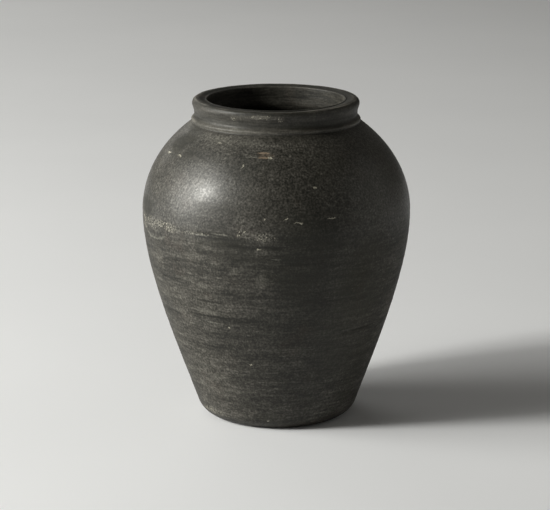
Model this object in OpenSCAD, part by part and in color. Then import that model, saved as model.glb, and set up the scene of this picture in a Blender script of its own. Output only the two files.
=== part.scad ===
// Hand-built black clay pot, as the sections of clay that the potter lutes together:
// a floor slab, a lower bowl, an upper bowl, a neck collar and a rim coil.
// Every section is a solid of revolution about Z. The pot stands on z = 0.

/* [Overall] */
// Height from the ground to the top of the lip
total_h = 360; // [340:1:375]
// Thickness of the body wall, square to its surface
wall_t = 11; // [8:0.5:13]
// Thickness of the floor at its centre
floor_t = 12; // [9:0.5:15]

/* [Foot] */
// Diameter of the flat face that it stands on
foot_flat_d = 136; // [110:1:150]
// Radius of the rounded edge between the underside and the wall
foot_round = 23; // [19:0.5:26]
// Lean of the wall from the vertical, just above the foot
wall_lean = 20; // [12:0.5:24]

/* [Belly] */
// Widest diameter, where the two bowls are luted
belly_d = 299; // [280:1:320]
// Height of the widest diameter
belly_z = 234; // [215:1:245]
// Fullness of the lower bowl near the foot, as a share of its height
lower_fullness = 0.35; // [0.2:0.01:0.5]
// Fullness of the lower bowl near the belly, as a share of its height
belly_fullness = 0.28; // [0.2:0.01:0.4]

/* [Shoulder] */
// Slope of the shoulder from the horizontal, where it meets the neck
shoulder_slope = 37.5; // [34:0.5:42]
// How far the belly's upright stretch carries up, as a share of the shoulder's height
shoulder_rise = 0.24; // [0.15:0.01:0.35]
// How far the shoulder's straight stretch reaches down from the neck, as the same share
shoulder_reach = 0.58; // [0.45:0.01:0.65]

/* [Neck and lip] */
// Narrowest outside diameter of the neck
neck_d = 181.5; // [176:0.5:186]
// How far the narrowest point lies below the top of the lip
neck_drop = 16.5; // [16:0.5:19]
// Radius of the hollow that runs round the neck
neck_cove = 16; // [14:0.5:17]
// How far the collar's luted line lies below the narrowest point
collar_drop = 8.5; // [5.5:0.5:9.5]
// How far the lip stands out past the neck
lip_overhang = 2; // [1.5:0.25:2.5]
// Inside diameter of the mouth
mouth_d = 152; // [146:0.5:156]
// Radius of the bend between the mouth and the inside of the shoulder
throat_round = 16; // [10:1:20]
// Radius of the lip's outer edge
lip_round = 6; // [5:0.5:6.5]
// Radius of the lip's inner edge
lip_round_in = 3; // [2:0.5:5]

/* [Hidden] */
$fn = 128;
CLAY = "#3b3a36";
CURVE_STEPS = 32; // straight stretches in each long curve
ARC_STEPS = 10; // straight stretches in each short arc

foot_r = foot_flat_d / 2;
belly_r = belly_d / 2;
neck_r = neck_d / 2;
rim_r = neck_r + lip_overhang;
mouth_r = mouth_d / 2;

// Points of a profile are [distance from the axis, height].
function along(a) = [cos(a), sin(a)];
function arc(centre, r, a0, a1) =
    [for (i = [0:ARC_STEPS]) centre + r * along(a0 + (a1 - a0) * i / ARC_STEPS)];
function blend(c, t) = // the point at t on the Bezier curve with the four control points c
    let (u = 1 - t)
    u * u * u * c[0] + 3 * u * u * t * c[1] + 3 * u * t * t * c[2] + t * t * t * c[3];
function heading(c, t) = // the direction in which that curve runs there
    let (u = 1 - t,
         d = u * u * (c[1] - c[0]) + 2 * u * t * (c[2] - c[1]) + t * t * (c[3] - c[2]))
    d / norm(d);
function curve(c, left = 0) = // the curve, moved this far to the left of its heading
    [for (i = [0:CURVE_STEPS])
        let (t = i / CURVE_STEPS, h = heading(c, t))
        blend(c, t) + left * [-h[1], h[0]]];
function last(points) = points[len(points) - 1];
function reverse(points) = [for (i = [len(points) - 1:-1:0]) points[i]];

// Outside of the pot, from the ground up.
foot_edge = arc([foot_r, foot_round], foot_round, -90, -wall_lean);
foot_top = last(foot_edge);
belly = [belly_r, belly_z];
lower_h = belly_z - foot_top[1];
lower_bend = [foot_top,
              foot_top + lower_h * lower_fullness * along(90 - wall_lean),
              belly - [0, lower_h * belly_fullness],
              belly];
lower_out = curve(lower_bend);

cove_centre = [neck_r + neck_cove, total_h - neck_drop];
cove_start = 270 - shoulder_slope;
cove_seam = 180 + asin(collar_drop / neck_cove);
shoulder_top = cove_centre + neck_cove * along(cove_start);
shoulder_h = shoulder_top[1] - belly_z;
upper_bend = [belly,
              belly + [0, shoulder_h * shoulder_rise],
              shoulder_top + shoulder_h * shoulder_reach * along(-shoulder_slope),
              shoulder_top];

// The cove and the lip's outer edge share a short straight tangent, which leans out by lip_flare.
lip_out_centre = [rim_r - lip_round, total_h - lip_round];
cove_to_lip = lip_out_centre - cove_centre;
lip_flare = 180 - atan2(cove_to_lip[1], cove_to_lip[0])
            - acos((neck_cove + lip_round) / norm(cove_to_lip));
upper_out = concat(curve(upper_bend), arc(cove_centre, neck_cove, cove_start, cove_seam));
neck_out = arc(cove_centre, neck_cove, cove_seam, 180 - lip_flare);
lip_out = arc(lip_out_centre, lip_round, -lip_flare, 90);

// Inside of the pot, from the ground up. The bowls' insides are their outsides moved in by wall_t.
lower_in = curve(lower_bend, wall_t);
floor_corner = lower_in[0];
floor_cove = (floor_corner[1] - floor_t) / (1 - sin(wall_lean));
floor_in = arc([floor_corner[0] - floor_cove * cos(wall_lean), floor_t + floor_cove],
               floor_cove, -90, -wall_lean);

// The inside of the shoulder runs on straight, then bends up into the mouth.
shoulder_in = curve(upper_bend, wall_t);
throat_turn = 90 - shoulder_slope;
throat_low_r = mouth_r + throat_round * (1 - cos(throat_turn));
throat_low = last(shoulder_in)
             + (last(shoulder_in)[0] - throat_low_r) * [-1, tan(shoulder_slope)];
upper_in = concat(shoulder_in, [throat_low]);
throat_centre = throat_low + throat_round * along(throat_turn);
neck_in = concat(arc(throat_centre, throat_round, 180 + throat_turn, 180),
                 [[mouth_r, last(neck_out)[1]]]);
lip_in = arc([mouth_r + lip_round_in, total_h - lip_round_in], lip_round_in, 180, 90);

module turned(outside, inside) {
    rotate_extrude()
        polygon(concat(outside, reverse(inside)));
}

module floor_slab() {
    color(CLAY)
        turned(concat([[0, 0]], foot_edge), concat([[0, floor_t]], floor_in));
}

module lower_bowl() {
    color(CLAY)
        turned(lower_out, lower_in);
}

module upper_bowl() {
    color(CLAY)
        turned(upper_out, upper_in);
}

module neck_collar() {
    color(CLAY)
        turned(neck_out, neck_in);
}

module rim_coil() {
    color(CLAY)
        turned(concat([last(neck_out)], lip_out), concat([last(neck_in)], lip_in));
}

floor_slab();
lower_bowl();
upper_bowl();
neck_collar();
rim_coil();
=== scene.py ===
"""The looks of a hand-built black clay pot: worn, washed charcoal clay with its tool marks."""

import math
from types import SimpleNamespace

import bpy
import numpy as np
from mathutils import Matrix, Vector

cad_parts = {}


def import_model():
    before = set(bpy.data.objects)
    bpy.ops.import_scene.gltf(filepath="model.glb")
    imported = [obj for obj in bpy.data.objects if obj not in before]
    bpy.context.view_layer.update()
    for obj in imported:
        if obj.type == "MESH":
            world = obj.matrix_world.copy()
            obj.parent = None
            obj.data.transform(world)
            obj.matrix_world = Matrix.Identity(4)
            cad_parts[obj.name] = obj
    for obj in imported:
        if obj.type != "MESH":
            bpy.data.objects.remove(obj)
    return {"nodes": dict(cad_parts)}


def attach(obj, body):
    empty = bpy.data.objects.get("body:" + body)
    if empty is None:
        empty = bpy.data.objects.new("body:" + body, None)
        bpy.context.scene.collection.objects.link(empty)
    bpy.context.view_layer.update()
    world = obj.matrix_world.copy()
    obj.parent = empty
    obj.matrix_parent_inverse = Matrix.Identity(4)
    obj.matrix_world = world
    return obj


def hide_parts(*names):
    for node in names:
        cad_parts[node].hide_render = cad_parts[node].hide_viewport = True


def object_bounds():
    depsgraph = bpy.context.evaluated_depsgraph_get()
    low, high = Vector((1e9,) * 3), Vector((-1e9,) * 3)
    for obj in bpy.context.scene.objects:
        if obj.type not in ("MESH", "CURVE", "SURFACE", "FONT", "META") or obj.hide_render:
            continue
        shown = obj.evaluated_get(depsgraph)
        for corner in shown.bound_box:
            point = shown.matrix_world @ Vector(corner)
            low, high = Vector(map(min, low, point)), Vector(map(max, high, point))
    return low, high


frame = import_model()
cad_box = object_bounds()

MM = 0.001
SEED = 31
COLUMNS = 576  # vertices round the pot, halved where a ring gets small
CLOSEST = 0.8 * MM  # how close together they may get before a ring has half as many
LONGEST_STEP = 64  # the most columns from one vertex to the next
PIECES = ["floor_slab", "lower_bowl", "upper_bowl", "neck_collar", "rim_coil"]
HEIGHT = cad_box[1][2]


# ---------------------------------------------------------------- noise and curves


def lattice(seed):
    """A shuffled table and random directions, which noise looks up."""
    rng = np.random.default_rng(seed)
    gradients = rng.normal(size=(256, 3))
    return rng.permutation(256), gradients / np.linalg.norm(gradients, axis=1)[:, None]


def noise(points, size, seed):
    """Smooth noise, about -1 to 1, at points in metres. size is one cell: a length, or one per axis."""
    p = points / np.asarray(size, float)
    order, gradients = lattice(SEED + seed)
    cell = np.floor(p).astype(int)
    f = p - cell
    blend = f * f * f * (f * (f * 6 - 15) + 10)
    total = np.zeros(p.shape[:-1])
    for corner in np.ndindex(2, 2, 2):
        at = (cell + corner) & 255
        key = order[(order[(order[at[..., 0]] + at[..., 1]) & 255] + at[..., 2]) & 255]
        share = np.prod(np.where(corner, blend, 1 - blend), axis=-1)
        total += share * np.einsum("...i,...i->...", gradients[key], f - corner)
    return total * 1.6


def layered(points, size, seed, layers=3, fade=0.55):
    """Noise with finer and fainter layers added."""
    size = np.asarray(size, float)
    total = sum(fade**i * noise(points, size / 2**i, seed + i) for i in range(layers))
    return total / math.sqrt(sum(fade ** (2 * i) for i in range(layers)))


def ramp(x, low, high):
    """0 below low, 1 above high, smooth between."""
    t = np.clip((x - low) / (high - low), 0, 1)
    return t * t * (3 - 2 * t)


def swell(x, width):
    """1 at 0, falling to nothing at about twice the width on both sides."""
    return np.exp(-((x / width) ** 2))


# ---------------------------------------------------------------- the section, read from the frame


def loop(node):
    """The points (radius, height) round a turned CAD node's section, anticlockwise."""
    mesh = frame["nodes"][node].data
    found, keys = [], []
    for v in mesh.vertices:
        point = (math.hypot(v.co.x, v.co.y), v.co.z)
        near = [i for i, q in enumerate(found) if math.dist(point, q) < 0.02 * MM]
        if not near:
            found.append(point)
        keys.append(near[0] if near else len(found) - 1)
    links = {i: set() for i in range(len(found))}
    for edge in mesh.edges:
        a, b = (keys[i] for i in edge.vertices)
        if a != b:
            links[a].add(b)
            links[b].add(a)
    ends = [i for i in links if len(links[i]) == 1]
    order = ends[:1] or [0]
    while True:
        ahead = [i for i in sorted(links[order[-1]]) if i not in order]
        if not ahead:
            break
        order.append(ahead[0])
    points = [found[i] for i in order]
    if ends:  # a flat disc closes each end, so the section goes on to the axis
        points = [(0, points[0][1]), *points, (0, points[-1][1])]
    points = np.array(points)
    after = np.roll(points, -1, axis=0)
    area = np.sum(points[:, 0] * after[:, 1] - after[:, 0] * points[:, 1])
    return points if area > 0 else points[::-1]


def is_straight(run):
    chord = (run[-1] - run[0]) / np.linalg.norm(run[-1] - run[0])
    off = (run - run[0]) @ np.array([-chord[1], chord[0]])
    return np.abs(off).max() < 0.05 * MM


def curves_of(node):
    """The curved runs of a node's section, between its flat joint faces: the outside, then the inside."""
    points = loop(node)
    step = np.roll(points, -1, axis=0) - points
    heading = np.arctan2(step[:, 1], step[:, 0])
    turn = (heading - np.roll(heading, 1) + math.pi) % (2 * math.pi) - math.pi
    corners = [i for i in range(len(points)) if abs(turn[i]) > math.radians(40)]
    runs = []
    for a, b in zip(corners, corners[1:] + [corners[0] + len(points)]):
        runs.append(np.array([points[i % len(points)] for i in range(a, b + 1)]))
    curved = [run for run in runs if not is_straight(run)]
    return sorted(curved, key=lambda run: -run[:, 0].max())


class Section:
    """One line from the underside's middle, up the outside, over the lip and down to the floor's middle.
    r, z: its rows' points. nr, nz: the way out of the clay there. s: the length so far.
    span[piece, side]: a piece's first and last row, outside (0) or inside (1)."""

    LONG = 2.2  # a stretch this many times its neighbour is straight, and sets the way where they meet
    STEPS_OUT = dict(floor_slab=1.8, lower_bowl=1.85, upper_bowl=1.5, neck_collar=0.9, rim_coil=0.6)  # mm
    STEPS_IN = dict(floor_slab=2.2, lower_bowl=6.0, upper_bowl=2.6, neck_collar=1.4)

    def __init__(self):
        curves = {name: curves_of(name) for name in PIECES}
        order = [(name, 0) for name in PIECES] + [(name, 1) for name in PIECES[-2::-1]]
        points, cuts = [curves["floor_slab"][0][0]], [0]
        for name, side in order:
            points.extend(curves[name][side][1:])
            cuts.append(len(points) - 1)
        points = np.array(points)
        length = np.linalg.norm(np.diff(points, axis=0), axis=1)
        at = np.concatenate([[0], np.cumsum(length)])
        joints = at[cuts]
        self.seams = dict(zip(PIECES, joints))
        rim_start, rim_end = joints[len(PIECES) - 1], joints[len(PIECES)]
        self.lip_s = rim_start + 0.5 * (rim_end - rim_start)
        self.s, self.span = self.lay_rows(order, joints)
        self.place_rows(points, length, at)
        self.outside = self.s < self.lip_s

    def lay_rows(self, order, joints):
        """The rows, with one at each joint, as places along the line, and each piece's first and last row."""
        rows, span = [0.0], {}
        for (name, side), start, stop in zip(order, joints, joints[1:]):
            fine = np.linspace(start, stop, 400)
            amount = np.concatenate([[0], np.cumsum(np.diff(fine) / self.spacing(fine[1:], name, side))])
            count = max(2, round(amount[-1]))
            new = np.interp(np.linspace(0, amount[-1], count + 1), amount, fine)
            span[name, side] = (len(rows) - 1, len(rows) - 1 + count)
            rows.extend(new[1:])
        return np.array(rows), span

    def tangents(self, points, length):
        """The way that the line runs at each of its points."""
        way = np.diff(points, axis=0) / length[:, None]
        tangent = np.empty_like(points)
        tangent[0], tangent[-1] = (1, 0), (-1, 0)
        for i in range(1, len(points) - 1):
            a, b = length[i - 1], length[i]
            if max(a, b) > self.LONG * min(a, b):
                mean = way[i - 1] if a > b else way[i]
            else:
                mean = way[i - 1] * b + way[i] * a
            tangent[i] = mean / np.linalg.norm(mean)
        return tangent

    def place_rows(self, points, length, at):
        """Each row's point and the way out of the clay there, on a smooth curve through the points."""
        tangent = self.tangents(points, length)
        i = np.clip(np.searchsorted(at, self.s, side="right") - 1, 0, len(length) - 1)
        t = ((self.s - at[i]) / length[i])[:, None]
        h = length[i][:, None]
        p0, p1, m0, m1 = points[i], points[i + 1], tangent[i], tangent[i + 1]
        curve = (
            (1 + 2 * t) * (1 - t) ** 2 * p0
            + t * (1 - t) ** 2 * h * m0
            + t * t * (3 - 2 * t) * p1
            + t * t * (t - 1) * h * m1
        )
        slope = 6 * t * (1 - t) * (p1 - p0) / h + (1 - t) * (1 - 3 * t) * m0 + t * (3 * t - 2) * m1
        slope /= np.linalg.norm(slope, axis=1)[:, None]
        self.r, self.z = curve.T
        self.nr, self.nz = slope[:, 1], -slope[:, 0]

    def spacing(self, s, name, side):
        """How far apart the rows are: closer on the neck, the lip and at the seams that show."""
        if side:
            return np.full_like(s, self.STEPS_IN[name] * MM)
        from_neck, from_belly = s - self.seams["neck_collar"], s - self.seams["upper_bowl"]
        close = swell(from_neck, 6 * MM) + 0.4 * swell(from_belly, 5 * MM)
        return self.STEPS_OUT[name] * MM / (1 + 1.2 * close)


section = Section()
columns = np.arange(COLUMNS) * 2 * math.pi / COLUMNS  # from the front, -Y, round by the right, +X
S, R, Z = section.s[:, None], section.r[:, None], section.z[:, None]
ANGLE = (np.degrees(columns)[None, :] + 180) % 360 - 180
SEAM = section.seams
FOOT_EDGE = SEAM["lower_bowl"]
NECK_HOLLOW = 343.5 * MM  # height of the neck's narrowest place
OUTER_ROWS = section.outside & (section.s > FOOT_EDGE - 25 * MM)  # the underside left out


def rim_facing(tilt):
    """The place along the section where the rim faces this many degrees up from level."""
    rim = np.abs(section.s - section.lip_s) < 22 * MM
    tilts = np.degrees(np.arctan2(section.nz[rim], section.nr[rim]))
    return section.s[rim][np.argmin(np.abs(tilts - tilt))]


LIP_EDGE = rim_facing(50)  # the lip's outer edge
PALE_EDGE = rim_facing(62)  # the line just over it that hands have rubbed pale
MOUTH_EDGE = rim_facing(106)  # the lip's inner edge
OUTSIDE = 1 - ramp(S, MOUTH_EDGE + 2 * MM, MOUTH_EDGE + 10 * MM)
CLEARANCE = 0.02 * MM  # how far inside the CAD box the relief stops
BELLY_R = min(abs(side) for corner in cad_box for side in corner[:2]) - CLEARANCE
LEAN = 0.0048  # how far the pot leans to the left for each metre up


def turned(radial, upward):
    """A grid of points or directions, rows by columns, from their radial and upward parts on each row."""
    flat = [radial * np.sin(columns), -radial * np.cos(columns), upward + 0 * columns]
    return np.stack(flat, axis=-1)


ideal = turned(R, Z)


# ---------------------------------------------------------------- the worked surface

# Single marks, most of them on the front. Each has its angle round from the front in degrees, right being
# plus, then in mm its height, length along the pot, width up it and how far it climbs to the right.
GROOVES = [
    (-35, 155.8, 56, 2.4, -2.0),
    (-30.5, 138.0, 88, 2.6, 0.0),
    (-31.5, 130.3, 46, 2.2, 2.0),
    (-54, 174.5, 50, 2.2, 4.0),
    (-41, 100.7, 40, 2.0, 2.0),
    (-60, 132, 50, 2.0, 4.0),
    (-52, 196, 44, 2.0, 5.0),
    (-9, 223.0, 76, 3.0, -1.0),
    (-26, 229.6, 56, 3.0, 1.0),
    (12, 205, 60, 2.0, 3.0),
    (25, 160, 70, 2.0, -3.0),
    (44, 118, 60, 2.2, 3.0),
]
SCUFFS = [
    (-34.0, 233.2, 30, 2.8, 1.0),
    (-24.0, 235.2, 34, 2.4, 0.8),
    (-31.5, 130.6, 34, 2.2, 2.0),
    (-13.0, 313.6, 20, 1.6, 0.0),
    (0.0, 209.5, 16, 1.6, 0.6),
]
FLAKE_LINES = [(-7.0, 318.3, 17, 2.8, 0.3), (-6.8, 314.0, 16, 2.6, -0.4)]
SMEARS = [
    (-26.3, 202.0, 20, 9, 1.0),
    (-39.0, 207.0, 18, 10, 0.0),
    (-17.8, 196.0, 14, 12, 0.0),
    (-6.2, 187.0, 22, 18, 0.0),
    (-64.0, 151.0, 54, 12, 3.0),
    (-34.2, 173.0, 22, 14, 0.0),
    (-32.5, 143.0, 44, 10, 0.0),
    (-44.0, 180.0, 60, 7, -3.0),
    (-36.0, 62.0, 50, 14, -5.0),
    (-28.0, 47.0, 60, 9, 0.0),
    (-49.5, 13.7, 22, 9, 0.0),
    # The next two lighten the shoulder under the collar: partly pale slip, partly painted light.
    (-37, 327, 60, 14, 0.0),
    (-16, 326, 46, 9, 0.0),
    (-46.0, 73.0, 30, 12, 0.0),
]
CURL = (-64.5, 215.0, 12, 2.6, 0.0635)  # angle and height of its lowest point, half its angle, width, bend
CHIP = (-5.7, 315.8, 15, 7.5, -1.0)
FLAKES = [CHIP, (-30, 234, 30, 3, 2.0)]
CRUSTS = [
    (-63, 232.8, 70, 13, 2.0),
    (-76, 229, 22, 20, 0.0),
    (-51, 232.5, 26, 10, -2.0),
    (-13.5, 237.5, 14, 13, 0.0),
    (-5.5, 234.5, 26, 10, -1.0),
    (-35, 233.0, 44, 3, 1.0),
    (-28, 351.0, 18, 6, 0.0),
    (-11, 353, 28, 5.5, 1.0),
    (3, 351.5, 18, 6, 0.0),
    (-56, 14, 40, 10, 0.0),
]
# Pale patches: partly the slip's pale bloom, partly painted light, on the pot's left side and down its right
# edge most of all.
PALE_BLOOMS_AND_PAINTED_LIGHT = [
    (-34, 169, 30, 16, 0.0),
    (-31, 146, 40, 16, 2.0),
    (-25, 131, 24, 4, 0.0),
    (-26.3, 201, 14, 6, 0.0),
    (-36, 208, 24, 14, 0.0),
    (-18, 196, 16, 12, 0.0),
    (-70, 306, 36, 16, 0.0),
    (-44, 84, 50, 34, 0.0),
    (70, 100, 40, 90, 0.0),
    (-73, 288, 26, 26, 0.0),
    (-68, 268, 22, 26, 0.0),
    (-42, 328.5, 60, 9, 0.0),
    (-20, 328.5, 44, 7, 0.0),
    (-4, 188, 26, 20, 0.0),
    (39, 187, 36, 44, 0.0),
    (-62, 189, 40, 24, 0.0),
    (-56, 150, 34, 26, 0.0),
    (-46, 75, 44, 30, 0.0),
    (-30, 90, 30, 16, 0.0),
    (50, 55, 60, 5, -8.0),
    (-42, 155, 70, 50, 0.0),
    (-52, 105, 56, 60, 0.0),
    (-40, 60, 60, 44, 0.0),
    (-34, 141.5, 70, 7, 0.0),
    (-64, 151, 50, 10, 4.0),
    (-44, 180, 60, 6, -3.0),
    (-41, 205, 20, 10, 0.0),
    (-52, 276, 60, 50, 0.0),
    (-62, 85, 44, 60, 0.0),
    (-56, 48, 40, 50, 0.0),
    (69, 140, 44, 120, 0.0),
    (-36, 326, 64, 20, 0.0),
    (-10, 324, 56, 14, 0.0),
    (95, 260, 60, 40, 0.0),
    (150, 200, 70, 40, 0.0),
    (-140, 280, 70, 40, 0.0),
    (-165, 120, 60, 40, 0.0),
    (110, 110, 60, 30, 0.0),
]
# Dark patches: partly darker clay, partly painted shade where the light falls off, down the front's middle
# and at the belly's left edge most of all. They also make the clay less polished.
DARK_CLAY_AND_PAINTED_SHADES = [
    (-69, 244, 34, 22, 0.0),
    (-66, 333, 34, 14, 0.0),
    (-15, 212, 60, 16, 0.0),
    (36, 337, 80, 14, 0.0),
    (-64, 322, 44, 28, 0.0),
    (-64, 324, 36, 24, 0.0),
    (-23, 232, 50, 22, 0.0),
    (-14, 300, 44, 30, 0.0),
    (-1, 14, 60, 20, 0.0),
    (22, 238, 70, 50, 0.0),
    (6, 205, 130, 90, 0.0),
    (14, 235, 100, 90, 0.0),
    (13, 145, 120, 110, 0.0),
    (16, 65, 100, 110, 0.0),
    (-22, 262, 60, 14, 0.0),
    (-48, 311, 56, 14, 0.0),
    (-68, 317, 44, 26, 0.0),
    (-74, 247, 44, 26, 0.0),
    (-75, 246, 40, 32, 0.0),
    (-62, 311, 60, 22, 0.0),
    (-24, 224, 70, 10, 0.0),
    (125, 170, 90, 60, 0.0),
    (-120, 200, 90, 50, 0.0),
    (170, 300, 80, 30, 0.0),
]
TICKS = [
    (-17, 304.6, 2.2, 7, 0.6),
    (-71.2, 304.9, 12, 1.9, -0.5),
    (-59, 306.3, 11, 1.8, 0.0),
    (-35.5, 324.4, 9, 1.8, 0.0),
    (-3.2, 313.8, 6, 3.4, 0.0),
    (17.5, 285.5, 6, 2.6, 0.0),
    (-4.8, 253.7, 4, 2.5, 0.0),
    (3.9, 254.6, 8, 2.4, -2.5),
    (9, 250.2, 14, 1.4, 1.6),
    (23.5, 252.8, 14, 1.6, 1.8),
    (-7.3, 221.8, 8, 1.7, -1.0),
    (-23.4, 128, 3, 3, 0.0),
    (-14, 83.5, 3, 3, 0.0),
    (-6, 12, 5, 3, 0.0),
]


def spot(angle, height):
    """Distances along the pot and up its outside, in metres, from one place on it."""
    at = np.interp(height * MM, section.z[OUTER_ROWS], section.s[OUTER_ROWS])
    along = np.radians((ANGLE - angle + 180) % 360 - 180) * R
    return along, S - at


def groove(mark):
    """1 along the middle of a level groove with fading ends, 0 away from it."""
    angle, height, length, width, climb = mark
    along, up = spot(angle, height)
    up = up - climb * along / length
    up = up + 0.7 * MM * noise(ideal, 12 * MM, 73)
    inside = 1 - ramp(np.abs(along), 0.3 * length * MM, 0.55 * length * MM)
    inside = inside * (0.6 + 0.4 * ramp(noise(ideal, 14 * MM, 72), -0.4, 0.4))
    return OUTSIDE * inside * swell(up, 0.5 * width * MM)


def patch(mark, soft=0.4, ragged=0.5):
    """1 inside an oval with a ragged edge, 0 outside it."""
    angle, height, length, width, climb = mark
    along, up = spot(angle, height)
    up = up - climb * along / length
    reach = np.hypot(along / (0.5 * length * MM), up / (0.5 * width * MM)) + 0 * ANGLE
    near = (reach < 3) & (OUTSIDE > 0)
    reach[~near] = 9
    reach[near] += ragged * noise(ideal[near], min(length, 3 * width) * 0.4 * MM, 71)
    return 1 - ramp(reach, 1 - soft, 1 + soft / 2)


def knocks(count, seed):
    """Places for small knocks all round the pot."""
    rng = np.random.default_rng(SEED + seed)
    low, high = (-180, 20, 3, 2.5), (180, 330, 8, 5)
    return [(*rng.uniform(low, high), 0) for _ in range(count)]


def wheel_marks():
    """Rings, strokes and grain, deeper on the lower bowl."""
    lower = ramp(SEAM["upper_bowl"] - S, -20 * MM, 25 * MM)
    rings = (0.05 + 0.13 * lower) * layered(ideal, [160 * MM, 160 * MM, 8 * MM], 5, 2)
    strokes = (0.02 + 0.05 * lower) * layered(ideal, [45 * MM, 45 * MM, 3.6 * MM], 9, 2)
    grain = (0.012 + 0.03 * lower) * noise(ideal, 4 * MM, 13)
    return rings + strokes + grain


def belly_joint():
    """Where the bowls were luted: a shallow, broken crease, with the clay pushed up over it."""
    belly = S - SEAM["upper_bowl"] + 0.8 * MM * noise(ideal, 60 * MM, 17)
    broken = 0.35 + 0.65 * ramp(noise(ideal, [40 * MM, 40 * MM, 200 * MM], 18), -0.3, 0.5)
    crease = 0.32 * broken * swell(belly + 1.0 * MM, 1.6 * MM)
    return 0.16 * swell(belly - 3 * MM, 3.5 * MM) - crease


def neck_ledge():
    """The collar's foot stands a little proud of the shoulder, over a crease and under soft rings."""
    neck = S - SEAM["neck_collar"] + 0.5 * MM * noise(ideal, 80 * MM, 19)
    ledge = 1.4 * ramp(neck, -0.8 * MM, 1.2 * MM) * (1 - ramp(neck, 1.8 * MM, 7 * MM))
    crease = 0.6 * swell(neck + 1.6 * MM, 1.5 * MM) * (0.8 + 0.2 * noise(ideal, 25 * MM, 22))
    on_neck = ramp(neck, 2 * MM, 5 * MM) * (1 - ramp(S - SEAM["rim_coil"], -1 * MM, 4 * MM))
    ring_height = 4.2
    waves = np.sin((neck / MM + 0.7 * noise(ideal, 70 * MM, 20)) / ring_height * 2 * math.pi)
    return ledge - crease + (0.05 * waves - 0.25) * on_neck


def lip_shape():
    """The lip's outer edge is uneven. Its top slopes into the mouth, and sags a little at the front."""
    edge = swell(S - LIP_EDGE, 3 * MM) * (0.22 * noise(ideal, [26 * MM, 26 * MM, 5 * MM], 21) - 0.05)
    top = ramp(S, LIP_EDGE - 2 * MM, LIP_EDGE + 4 * MM) * (1 - ramp(S, MOUTH_EDGE, MOUTH_EDGE + 3 * MM))
    drop = 1.8 * swell(ANGLE, 50) + 1.5 * ramp(S, MOUTH_EDGE - 8 * MM, MOUTH_EDGE)
    return edge - top * (0.15 + drop + 0.12 * layered(ideal, [9 * MM, 9 * MM, 9 * MM], 24, 2))


def underside():
    """The underside is scraped a little hollow, so that the pot stands on the edge of it."""
    under = 1 - ramp(R, 35 * MM, 62 * MM)
    return 0.3 - under * (0.8 + 0.3 * layered(ideal, 22 * MM, 26, 3))


def finger_marks():
    """The inside keeps deeper finger rings, and the floor a spiral of them."""
    floor = ramp(S, section.s[-1] - 80 * MM, section.s[-1] - 60 * MM)
    fingers = 0.3 * layered(ideal, [300 * MM, 300 * MM, 13 * MM], 23, 2) * (1 - floor)
    spiral = np.sin((R / (9 * MM) + ANGLE / 360) * 2 * math.pi) * ramp(R, 2 * MM, 9 * MM)
    return fingers + 0.35 * spiral * floor


def relief():
    """How far the clay stands out of its ideal section, in mm, and how much of that is fine detail."""
    wobble = 0.26 * noise(ideal, [140 * MM, 140 * MM, 110 * MM], 1) + 0.12 * noise(ideal, 45 * MM, 2) - 0.05
    outer = wheel_marks() + belly_joint() + neck_ledge() + lip_shape()
    outer = outer - 0.5 * sum(groove(m) for m in GROOVES) - 0.45 * sum(patch(m) for m in FLAKES)
    outer = outer - 0.2 * sum(patch(m) for m in knocks(90, 40))
    on_under = OUTSIDE * (1 - ramp(Z, 0, 6 * MM))
    outer = outer * (1 - on_under) + on_under * underside()
    detail = outer * OUTSIDE + finger_marks() * (1 - OUTSIDE)
    calm = 1 - 0.6 * swell(S - section.lip_s, 12 * MM)
    return wobble * (1 - on_under) * calm + detail, detail


def kept_in(height):
    """The relief, eased back where it would leave the CAD model's box: at the belly, lip and underside."""
    far = np.full_like(R, 9.0)
    outward, upward = section.nr[:, None], section.nz[:, None]
    beside = np.divide(BELLY_R - R, outward * MM, out=far.copy(), where=outward > 0.05)
    above = np.divide(HEIGHT - Z, upward * MM, out=far.copy(), where=(upward > 0.05) & (Z > HEIGHT / 2))
    below = np.divide(Z, -upward * MM, out=far.copy(), where=(upward < -0.05) & (OUTSIDE > 0))
    room = np.minimum(np.minimum(beside, above), below)
    ease = 0.08
    return room - ease * np.logaddexp(0, (room - height) / ease)


height, detail = relief()
height = kept_in(height)
surface = ideal + height[..., None] * MM * turned(section.nr[:, None], section.nz[:, None])
surface[..., 0] += LEAN * (section.z[np.argmax(section.r)] - Z)  # the belly stays in place


def pale_wear_and_painted_highlights():
    """Pale edges: wear on the lip and foot, wear with a painted highlight at the mouth's front, and painted
    highlights at its back and on the collar's ledge.
    """
    broken = 0.25 + 0.75 * ramp(noise(ideal, [22 * MM, 22 * MM, 9 * MM], 51), -0.5, 0.5)
    edge = broken * (1.3 * swell(S - PALE_EDGE, 1.1 * MM) + 0.4 * swell(S - FOOT_EDGE, 12 * MM))
    # Pale wear with a painted highlight on it: a thin line along the mouth's edge at the front.
    mouth_front = (0.15 + 0.85 * swell(ANGLE - 4, 42)) * swell(S - MOUTH_EDGE + 7 * MM, 2.6 * MM)
    # Painted highlight: a bright streak on the mouth's inner edge at the back, to the right.
    painted_mouth_highlight = 0.9 * swell(ANGLE - 153, 18) * swell(S - MOUTH_EDGE - 1.5 * MM, 1.4 * MM)
    # Painted highlight: a pale band along the top of the collar's ledge.
    ledge = 0.62 * swell(S - SEAM["neck_collar"] - 1.2 * MM, 3.0 * MM) * (0.5 + 0.5 * broken)
    return edge + mouth_front + painted_mouth_highlight + ledge


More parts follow.
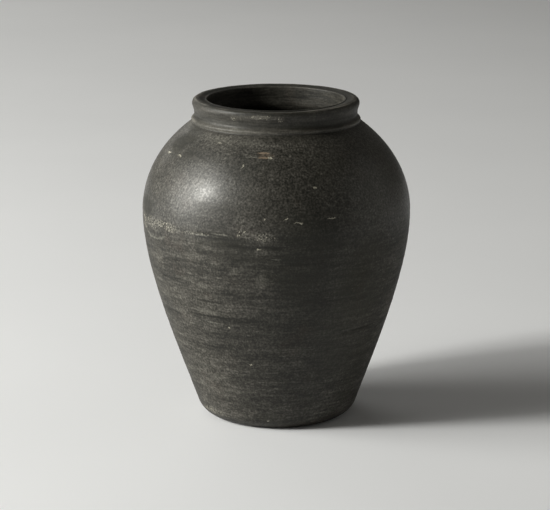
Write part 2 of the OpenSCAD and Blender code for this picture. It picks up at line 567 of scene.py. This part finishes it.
def neck_hollow_and_painted_lip_shade():
    """Where the neck and the lip are made darker: the neck's hollow, with painted shade on the lip's top and
    under its edge at the front.
    """
    # Painted shade on the lip's top, less of it on the right.
    lip_top = ramp(S, PALE_EDGE + 1 * MM, PALE_EDGE + 3 * MM)
    lip_top = lip_top * (1 - ramp(S, MOUTH_EDGE - 11 * MM, MOUTH_EDGE - 9 * MM))
    lip_top = lip_top * (1 - 0.7 * swell(ANGLE - 75, 40))
    # Painted shade just under the lip's outer edge, at the front.
    under_edge = 0.55 * swell(S - PALE_EDGE + 4.2 * MM, 2.2 * MM) * swell(ANGLE + 4, 34)
    return 0.5 * swell(Z - NECK_HOLLOW, 4.5 * MM) * OUTSIDE + 0.9 * lip_top + under_edge


def wear_and_painted_light():
    """What time has left on the clay, and where shade and light are painted on it, from 0 to 1 at each point
    of the grid, by name.
    """
    joint = ramp(noise(ideal, [30 * MM, 30 * MM, 90 * MM], 50), 0.1, 0.6)
    joint = swell(S - SEAM["upper_bowl"] + 2 * MM, 4 * MM) * joint * (np.abs(ANGLE + 20) > 62)
    # Darker clay and painted shade from the placed dark patches.
    dark = 0.6 * sum(patch(m, 0.95, 0.6) for m in DARK_CLAY_AND_PAINTED_SHADES)
    upper = ramp(S - SEAM["upper_bowl"] + 14 * MM * noise(ideal, 50 * MM, 52), -25 * MM, 30 * MM) * OUTSIDE
    upper = upper * (1 - 0.75 * ramp(S - SEAM["neck_collar"], -12 * MM, 1 * MM))
    found = {
        "polish": upper * (1 - 0.8 * np.minimum(dark, 1)),
        "hollow": (ramp(-detail, 0.15, 0.6) + 0.8 * sum(groove(m) for m in GROOVES)) * OUTSIDE,
        "ridge": ramp(detail, 0.10, 0.60) * OUTSIDE,
        "crust": sum(patch(m, 0.7) for m in CRUSTS) + 0.5 * joint,
        "bloom": sum(patch(m, 0.9) for m in PALE_BLOOMS_AND_PAINTED_LIGHT),
        "bare": patch(CHIP, 0.3),
        "edge": pale_wear_and_painted_highlights(),
        # the neck's hollow made darker, painted shade on the lip, and the dark patches
        "shade": neck_hollow_and_painted_lip_shade() + dark,
        "chatter": patch((7, 324.7, 56, 5, -1.5), 0.5) + 0.7 * patch((11, 321, 40, 4, 0.0), 0.5),
        "inside": 1 - OUTSIDE,
        "slick": np.maximum(ramp(S - SEAM["neck_collar"], -4 * MM, 0), 1 - OUTSIDE),
        "calm": np.maximum(patch((48, 285, 130, 130, 0), 0.9), patch((40, 150, 110, 200, 0), 0.9)),
    }
    return {name: np.clip(values + 0 * ANGLE, 0, 1) for name, values in found.items()}


fields = wear_and_painted_light()


# ---------------------------------------------------------------- meshes


def smooth_normals():
    """The way each point of the surface faces, taken across the seams, so that no seam shows."""
    round_way = np.roll(surface, -1, axis=1) - np.roll(surface, 1, axis=1)
    up_way = np.gradient(surface, axis=0)
    facing = np.cross(round_way, up_way)
    size = np.linalg.norm(facing, axis=-1, keepdims=True)
    plain = turned(section.nr[:, None], section.nz[:, None])
    return np.where(size > 1e-12, facing / np.maximum(size, 1e-12), plain)


facing = smooth_normals()


def column_steps():
    """Every how many columns each row keeps a vertex, so that small rings aren't crowded."""
    steps = []
    for radius in section.r:
        step = 1
        while step < LONGEST_STEP and 2 * math.pi * radius * step / COLUMNS < CLOSEST:
            step *= 2
        steps.append(step)
    return steps


STEPS = column_steps()


def bridge(a, b):
    """Faces from ring a to ring b, lists of vertex numbers. One may have twice as many, or just one."""
    n, m = len(a), len(b)
    if n == m:
        return [(a[j], a[(j + 1) % n], b[(j + 1) % n], b[j]) for j in range(n)]
    if m == 1:
        return [(a[j], a[(j + 1) % n], b[0]) for j in range(n)]
    if n < m:
        return [face[::-1] for face in bridge(b, a)]
    made = []
    for j in range(m):
        p, q, r = a[2 * j], a[2 * j + 1], a[(2 * j + 2) % n]
        s, t = b[j], b[(j + 1) % m]
        made += [(p, q, s), (q, t, s), (q, r, t)]
    return made


def build(name, material):
    """One closed section of clay, from its rows outside and inside, which stands for its plain CAD node."""
    spans = [section.span[name, side] for side in (0, 1) if (name, side) in section.span]
    rows = [row for first, last in spans for row in range(first, last + 1)]
    rings, at, count = [], [], 0
    for row in rows:
        picked = [0] if section.r[row] < 0.01 * MM else list(range(0, COLUMNS, STEPS[row]))
        rings.append(list(range(count, count + len(picked))))
        at += [(row, column) for column in picked]
        count += len(picked)
    faces = [face for a, b in zip(rings, rings[1:]) for face in bridge(a, b)]
    if len(rings[0]) > 1:
        faces += bridge(rings[-1], rings[0])
    at = tuple(np.array(at).T)
    mesh = bpy.data.meshes.new(name)
    mesh.from_pydata(surface[at].tolist(), [], faces)
    mesh.validate()
    for field, values in fields.items():
        layer = mesh.attributes.new(field, "FLOAT", "POINT")
        layer.data.foreach_set("value", values[at].astype(np.float32))
    mesh.polygons.foreach_set("use_smooth", [True] * len(mesh.polygons))
    mesh.normals_split_custom_set_from_vertices(facing[at].tolist())
    piece = bpy.data.objects.new(name + "_clay", mesh)
    bpy.context.scene.collection.objects.link(piece)
    piece.data.materials.append(material)
    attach(piece, "root")
    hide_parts(name)
    return piece


# ---------------------------------------------------------------- the clay's material


class Shader:
    """Short ways to add shader nodes to a new material and join them. Sizes are in mm."""

    def __init__(self, name):
        self.material = bpy.data.materials.new(name)
        self.material.use_nodes = True
        self.tree = self.material.node_tree
        self.skin = self.tree.nodes["Principled BSDF"]
        self.place = self.add("ShaderNodeTexCoord").outputs["Object"]

    def add(self, kind, inputs=(), **settings):
        node = self.tree.nodes.new(kind)
        for key, value in settings.items():
            setattr(node, key, value)
        for key, value in dict(inputs).items():
            self.feed(node.inputs[key], value)
        return node

    def feed(self, socket, value):
        if isinstance(value, bpy.types.NodeSocket):
            self.tree.links.new(value, socket)
        elif socket.type == "RGBA" and len(value) == 3:
            socket.default_value = (*value, 1)
        else:
            socket.default_value = value

    def math(self, operation, a, b=0.0, clamp=False):
        node = self.add("ShaderNodeMath", {0: a, 1: b}, operation=operation, use_clamp=clamp)
        return node.outputs[0]

    def total(self, start, *terms):
        """start plus each (weight, value); a weight may itself come from nodes."""
        sum_ = start
        for weight, value in terms:
            sum_ = self.math("ADD", sum_, self.math("MULTIPLY", value, weight))
        return sum_

    def ramp(self, value, low, high, to_low=0.0, to_high=1.0):
        ends = {"Value": value, "From Min": low, "From Max": high, "To Min": to_low, "To Max": to_high}
        return self.add("ShaderNodeMapRange", ends, interpolation_type="SMOOTHSTEP").outputs[0]

    def mix(self, share, a, b):
        node = self.add("ShaderNodeMix", data_type="RGBA")
        for key, value in (("Factor", share), ("A", a), ("B", b)):
            sockets = [s for s in node.inputs if s.name == key and s.enabled]
            self.feed(sockets[0], value)
        return [s for s in node.outputs if s.enabled][0]

    def field(self, name):
        node = self.add("ShaderNodeAttribute", attribute_name=name, attribute_type="GEOMETRY")
        return node.outputs["Fac"]

    def squeezed(self, level, offset=0.0):
        """Places squeezed so that a texture there runs this many times as long round the pot."""
        inputs = {0: self.place, 1: (1 / level, 1 / level, 1), 2: (offset, offset, offset)}
        return self.add("ShaderNodeVectorMath", inputs, operation="MULTIPLY_ADD").outputs[0]

    def noise(self, size, where=None, detail=2.0, rough=0.5):
        """Noise from about -1 to 1."""
        inputs = {"Vector": where or self.place, "Scale": 1000 / size, "Detail": detail, "Roughness": rough}
        value = self.add("ShaderNodeTexNoise", inputs).outputs["Fac"]
        return self.add("ShaderNodeMath", {0: value, 1: 4.0, 2: -2.0}, operation="MULTIPLY_ADD").outputs[0]

    def palette(self, value, stops):
        node = self.add("ShaderNodeValToRGB", {"Fac": value})
        marks = node.color_ramp.elements
        while len(marks) < len(stops):
            marks.new(0.5)
        for mark, (place, colour) in zip(marks, stops):
            mark.position, mark.color = place, (*colour, 1)
        return node.outputs["Color"]

    def shaken(self, size, reach):
        """Places on the pot moved about by up to reach, so that what is drawn there gets ragged edges."""
        drift = self.add("ShaderNodeTexNoise", {"Vector": self.place, "Scale": 1000 / size, "Detail": 1.0})
        away = {0: drift.outputs["Color"], 1: (-0.5,) * 3}
        away = self.add("ShaderNodeVectorMath", away, operation="ADD").outputs[0]
        inputs = {0: away, 1: (4 * reach * MM,) * 3, 2: self.place}
        return self.add("ShaderNodeVectorMath", inputs, operation="MULTIPLY_ADD").outputs[0]

    def teeth(self, count, drift):
        """Upright bars, 0 to 1, evenly spaced round the pot apart from a little drift."""
        axes = self.add("ShaderNodeSeparateXYZ", {0: self.place}).outputs
        turn = self.math("MULTIPLY", self.math("ARCTAN2", axes["X"], axes["Y"]), float(count))
        return self.ramp(self.math("SINE", self.total(turn, (2.5, drift))), 0.1, 0.9)

    def curl(self, mark, where):
        """One placed curved line, 1 along its middle: it dips to a lowest point and rises on both sides."""
        angle, height_mm, reach, width, bend = mark
        axes = self.add("ShaderNodeSeparateXYZ", {0: where}).outputs
        turn = self.math("ARCTAN2", axes["X"], self.math("MULTIPLY", axes["Y"], -1.0))
        off = self.math("ADD", self.math("MULTIPLY", turn, 180 / math.pi), -float(angle))
        line = self.math("MULTIPLY", self.math("MULTIPLY", off, off), bend * MM)
        above = self.math("SUBTRACT", axes["Z"], self.math("ADD", line, height_mm * MM))
        near = self.ramp(self.math("ABSOLUTE", above), 0.8 * width * MM, 0.1 * width * MM)
        return self.math("MULTIPLY", near, self.ramp(self.math("ABSOLUTE", off), reach, 0.6 * reach))

    def specks(self, size, where=None):
        """The distance from the nearest of many scattered points, and that point's own random value."""
        inputs = {"Vector": where or self.place, "Scale": 1000 / size}
        node = self.add("ShaderNodeTexVoronoi", inputs)
        split = self.add("ShaderNodeSeparateColor", {0: node.outputs["Color"]})
        return node.outputs["Distance"], split.outputs[0]

    def tick(self, mark, where):
        """1 at the middle of one small placed mark, 0 at its edge and beyond."""
        angle, height_mm, length, width, climb = mark
        row = np.flatnonzero(OUTER_ROWS)[np.argmin(np.abs(section.z[OUTER_ROWS] - height_mm * MM))]
        a = math.radians(angle)
        along = Vector((math.cos(a), math.sin(a), 0))
        out = Vector((section.nr[row] * math.sin(a), -section.nr[row] * math.cos(a), section.nz[row]))
        up = out.cross(along) * -1
        slant = math.atan2(climb, length)
        c, s = math.cos(slant), math.sin(slant)
        turn = Matrix((along * c + up * s, out, up * c - along * s)).transposed().to_euler()
        middle = (section.r[row] * math.sin(a), -section.r[row] * math.cos(a), section.z[row])
        inputs = {"Vector": where, "Location": middle, "Rotation": turn}
        deep = 6 + length**2 / 200  # the longer marks follow the pot's round
        inputs["Scale"] = (0.5 * length * MM, deep * MM, 0.5 * width * MM)
        local = self.add("ShaderNodeMapping", inputs, vector_type="TEXTURE").outputs[0]
        ball = self.add("ShaderNodeTexGradient", {"Vector": local}, gradient_type="SPHERICAL")
        return ball.outputs["Fac"]

    def ticks(self, marks, where, low, high):
        """1 on every one of the marks. The further apart low and high are, the softer their edges."""
        drawn = self.tick(marks[0], where)
        for mark in marks[1:]:
            drawn = self.math("MAXIMUM", drawn, self.tick(mark, where))
        return self.ramp(drawn, low, high)


BLACK = (0.0064, 0.0061, 0.0037)
CHARCOAL = (0.0290, 0.0270, 0.0213)
OLIVE_GREY = (0.0570, 0.0532, 0.0445)
KHAKI = (0.130, 0.1238, 0.1060)
SLIP = (0.17, 0.165, 0.14)
CREAM = (0.42, 0.40, 0.32)
TAN = (0.30, 0.22, 0.15)
RUST = (0.075, 0.040, 0.026)
SHADE_TINT = (0.0166, 0.0159, 0.0092)
PLAIN = (0.0262, 0.0250, 0.0152)


def mottling(sh):
    """The clay's uneven looks at several sizes, each about -1 to 1."""
    return SimpleNamespace(
        clouds=sh.noise(60, detail=3.0),
        blotches=sh.noise(16, sh.squeezed(1.6), detail=2.0),
        bands=sh.noise(8, sh.squeezed(12), detail=3.0),
        streaks=sh.noise(2.6, sh.squeezed(11, 3.1), detail=2.0, rough=0.6),
        hairs=sh.noise(1.7, sh.squeezed(4, 7.7), detail=1.0),
        grain=sh.noise(2.2, detail=1.0, rough=0.6),
        pepper=sh.noise(4.8, detail=2.0),
    )


def washed_colour(sh, worn, look):
    """Charcoal to khaki by how much pale slip is left, with painted shade and light, and warm iron tinges in
    soft patches.
    """
    even = sh.total(1.0, (-0.45, worn.slick), (-0.18, worn.matt))
    tone = sh.total(
        0.385,
        (0.08, look.clouds),
        (0.07, look.blotches),
        (sh.ramp(worn.matt, 0, 1, 0.05, 0.18), look.bands),
        (sh.total(sh.ramp(worn.matt, 0, 1, 0.06, 0.23), (0.07, worn.slick)), look.streaks),
        (sh.ramp(worn.matt, 0, 1, 0.08, 0.11), look.hairs),
        (sh.math("MULTIPLY", even, sh.ramp(worn.crust, 0, 1, 0.42, 0.90)), look.grain),
        (sh.math("MULTIPLY", even, 0.14), look.pepper),
        (0.08, worn.ridge),
        # darker in the relief's hollows and grooves
        (-0.32, worn.hollow),
        # the slip's pale bloom, partly painted light
        (0.155, worn.bloom),
        (0.34, worn.crust),
        # pale wear on the edges, with painted highlights on the mouth's edge and the collar's ledge
        (0.70, worn.edge),
        # painted shade on the lip and in the dark patches, and the darker neck hollow
        (-0.26, worn.shade),
        (-0.08, worn.inside),
        (0.32, worn.toothed),
    )
    colour = sh.palette(tone, ((0.0, BLACK), (0.35, CHARCOAL), (0.62, OLIVE_GREY), (1.0, KHAKI)))
    rust = sh.ramp(sh.noise(38, detail=2.0), 0.35, 1.2, 0.0, 0.15)
    colour = sh.mix(rust, colour, RUST)
    # Painted shade and the darker neck hollow lean towards a dark warm tint.
    colour = sh.mix(sh.math("MULTIPLY", worn.shade, 0.4), colour, SHADE_TINT)
    return sh.mix(sh.math("MULTIPLY", worn.calm, 0.45), colour, PLAIN)


def crust_dots(sh, worn, look):
    """Pale specks, crowded together where the slip has crusted."""
    near, pick = sh.specks(2.1)
    dots = sh.ramp(near, 0.40, 0.18)
    stray = sh.ramp(look.pepper, 0.2, 1.0)
    wanted = sh.total(0.0, (0.85, worn.crust), (0.05, worn.bloom), (0.012, stray))
    return sh.math("MULTIPLY", dots, sh.math("LESS_THAN", pick, wanted))


def scratches(sh):
    """Short level scratches, a few pale and more of them dark."""
    far, chosen = sh.specks(9.0, sh.squeezed(3.5, 1.3))
    dashes = sh.ramp(far, 0.11, 0.05)
    pale = sh.math("MULTIPLY", dashes, sh.math("GREATER_THAN", chosen, 0.95))
    dark = sh.math("MULTIPLY", dashes, sh.math("LESS_THAN", chosen, 0.22))
    return pale, dark


def placed_marks(sh, worn):
    """The single marks, each kind 0 to 1, with ragged edges and none on the inside."""
    outside = sh.math("SUBTRACT", 1.0, worn.inside)
    loose, ragged, fine = sh.shaken(7, 1.0), sh.shaken(2.5, 1.1), sh.shaken(2.5, 0.5)
    drawn = {
        "strokes": sh.ticks(GROOVES, loose, 0.0, 0.4),
        "scuffs": sh.math("MAXIMUM", sh.ticks(SCUFFS, loose, 0.0, 0.7), sh.curl(CURL, loose)),
        "smears": sh.ticks(SMEARS, loose, 0.0, 0.9),
        "ticks": sh.ticks(TICKS, ragged, 0.12, 0.55),
        "flake_lines": sh.ticks(FLAKE_LINES, fine, 0.0, 0.6),
    }
    return SimpleNamespace(**{kind: sh.math("MULTIPLY", outside, value) for kind, value in drawn.items()})


def marked_colour(sh, colour, worn, look, marks):
    """The flaked patch bares tan clay, the grooves are darker, and the other marks are pale."""
    coats = [
        (worn.bare, sh.ramp(look.grain, -1.2, 0.6, 0.05, 0.25), TAN),
        (marks.flake_lines, 0.6, TAN),
        (marks.strokes, sh.ramp(look.grain, -1, 1, 0.75, 0.35), BLACK),
        (marks.smears, sh.ramp(look.grain, -1, 1, 0.1, 0.3), SLIP),
        (marks.scuffs, sh.ramp(look.grain, -1, 1, 0.3, 0.8), SLIP),
        (marks.ticks, 0.7, CREAM),
    ]
    for place, strength, paint in coats:
        colour = sh.mix(sh.math("MULTIPLY", place, strength), colour, paint)
    return colour


def gloss(sh, worn, look):
    """Dull clay, duller in crusts and hollows, with a thin soft coat where it has been rubbed."""
    roughness = sh.total(
        0.62,
        (-0.08, worn.polish),
        (0.03, look.grain),
        (0.03, look.clouds),
        (0.10, worn.bloom),
        (0.15, worn.crust),
        (0.15, worn.bare),
        (0.08, worn.hollow),
    )
    coat = sh.math("MULTIPLY", worn.polish, sh.ramp(look.grain, -1.2, 1.2, 0.2, 0.7))
    sh.feed(sh.skin.inputs["Roughness"], sh.math("MINIMUM", roughness, 0.95))
    sh.feed(sh.skin.inputs["Coat Weight"], coat)
    sh.skin.inputs["Specular IOR Level"].default_value = 0.4
    sh.skin.inputs["Coat Roughness"].default_value = 0.3


def clay(name):
    """Charcoal clay washed with pale slip: level streaks, grain, specks, scratches, rubbed edges, and painted
    shade and highlights.
    """
    sh = Shader(name)
    worn = SimpleNamespace(**{field: sh.field(field) for field in fields})
    worn.matt = sh.math("SUBTRACT", 1.0, worn.polish)
    worn.toothed = sh.math("MULTIPLY", worn.chatter, sh.teeth(211, sh.noise(12, detail=1.0)))
    look = mottling(sh)
    marks = placed_marks(sh, worn)
    dots = crust_dots(sh, worn, look)
    pale_scratch, dark_scratch = scratches(sh)

    colour = washed_colour(sh, worn, look)
    colour = sh.mix(sh.math("MULTIPLY", dots, sh.ramp(worn.crust, 0, 1, 0.12, 0.85)), colour, CREAM)
    colour = sh.mix(sh.math("MULTIPLY", pale_scratch, 0.4), colour, KHAKI)
    colour = sh.mix(sh.math("MULTIPLY", dark_scratch, 0.5), colour, BLACK)
    sh.feed(sh.skin.inputs["Base Color"], marked_colour(sh, colour, worn, look, marks))
    gloss(sh, worn, look)

    # Fine relief in mm, too small for the mesh.
    fine = sh.total(
        0.0,
        (0.060, sh.noise(2.0, detail=1.0)),
        (sh.ramp(worn.matt, 0, 1, 0.010, 0.040), look.streaks),
        (sh.ramp(worn.matt, 0, 1, 0.010, 0.020), look.hairs),
        (sh.ramp(worn.polish, 0, 1, 0.025, 0.06), look.pepper),
        (0.10, worn.toothed),
        (0.06, dots),
        (-0.12, dark_scratch),
        (-0.08, marks.ticks),
    )
    relief_node = sh.add("ShaderNodeBump", {"Height": fine, "Distance": MM, "Strength": 1.0})
    sh.feed(sh.skin.inputs["Normal"], relief_node.outputs["Normal"])
    return sh.material


matt_clay = clay("matt_washed_clay")
rubbed_clay = clay("rubbed_washed_clay")
lip_clay = clay("worn_lip_clay")
CLAY_OF = {
    "floor_slab": matt_clay,
    "lower_bowl": matt_clay,
    "upper_bowl": rubbed_clay,
    "neck_collar": rubbed_clay,
    "rim_coil": lip_clay,
}
for node, material in CLAY_OF.items():
    build(node, material)


# ---------------------------------------------------------------- floor, light and camera

AIM = Vector((-1.55 * MM, 0, HEIGHT / 2 - 0.3 * MM))
ELEVATION = math.radians(13.6)
DISTANCE = 2.808
LENS = 163.6
WARM_WHITE = (1, 0.99, 0.93)
LIGHTS_AWAY = 4.4
LIGHTS = [  # degrees round from the front and up, width in metres, and power in watts
    ("key", -70, 27.5, 0.8, 136),
    ("wide", -78, 28, 3.0, 88),
    ("low", -88, 14, 2.4, 90),
    ("side", 92, 14, 4.0, 14),
    ("rear", -155, 25, 2.6, 20),
]


def floor():
    mesh = bpy.data.meshes.new("floor")
    mesh.from_pydata([(-9, -6, 0), (9, -6, 0), (9, 14, 0), (-9, 14, 0)], [], [(0, 1, 2, 3)])
    plane = bpy.data.objects.new("floor", mesh)
    bpy.context.scene.collection.objects.link(plane)
    sh = Shader("pale_floor")
    tone = sh.ramp(sh.noise(400, detail=2.0), -2, 2, 0.0, 1.0)
    sh.feed(sh.skin.inputs["Base Color"], sh.mix(tone, (0.84, 0.85, 0.88), (0.87, 0.88, 0.91)))
    sh.skin.inputs["Roughness"].default_value = 0.9
    sh.skin.inputs["Specular IOR Level"].default_value = 0.1
    plane.data.materials.append(sh.material)


def soft_light(name, azimuth, elevation, size, power):
    """A square soft light, this far round from the front and up, which faces the pot's middle."""
    data = bpy.data.lights.new(name, "AREA")
    data.shape, data.size, data.energy = "SQUARE", size, power
    data.color = WARM_WHITE
    a, e = math.radians(azimuth), math.radians(elevation)
    way = Vector((math.cos(e) * math.sin(a), -math.cos(e) * math.cos(a), math.sin(e)))
    lamp = bpy.data.objects.new(name, data)
    lamp.location = Vector((0, 0, HEIGHT / 2)) + way * LIGHTS_AWAY
    lamp.rotation_euler = way.to_track_quat("Z", "Y").to_euler()
    bpy.context.scene.collection.objects.link(lamp)


def camera():
    data = bpy.data.cameras.new("camera")
    data.sensor_width, data.lens, data.clip_end = 36, LENS, 60
    viewer = bpy.data.objects.new("camera", data)
    back = Vector((0, -math.cos(ELEVATION), math.sin(ELEVATION)))
    viewer.location = AIM + back * DISTANCE
    look = back.to_track_quat("Z", "Y").to_matrix()
    viewer.rotation_euler = look.to_euler()
    bpy.context.scene.collection.objects.link(viewer)
    bpy.context.scene.camera = viewer


def world():
    space = bpy.data.worlds.new("studio")
    space.use_nodes = True
    background = space.node_tree.nodes["Background"]
    background.inputs["Color"].default_value = (1, 0.96, 0.86, 1)
    background.inputs["Strength"].default_value = 0.072
    bpy.context.scene.world = space


floor()
world()
camera()
for light in LIGHTS:
    soft_light(*light)
bpy.context.scene.view_settings.view_transform = "Standard"
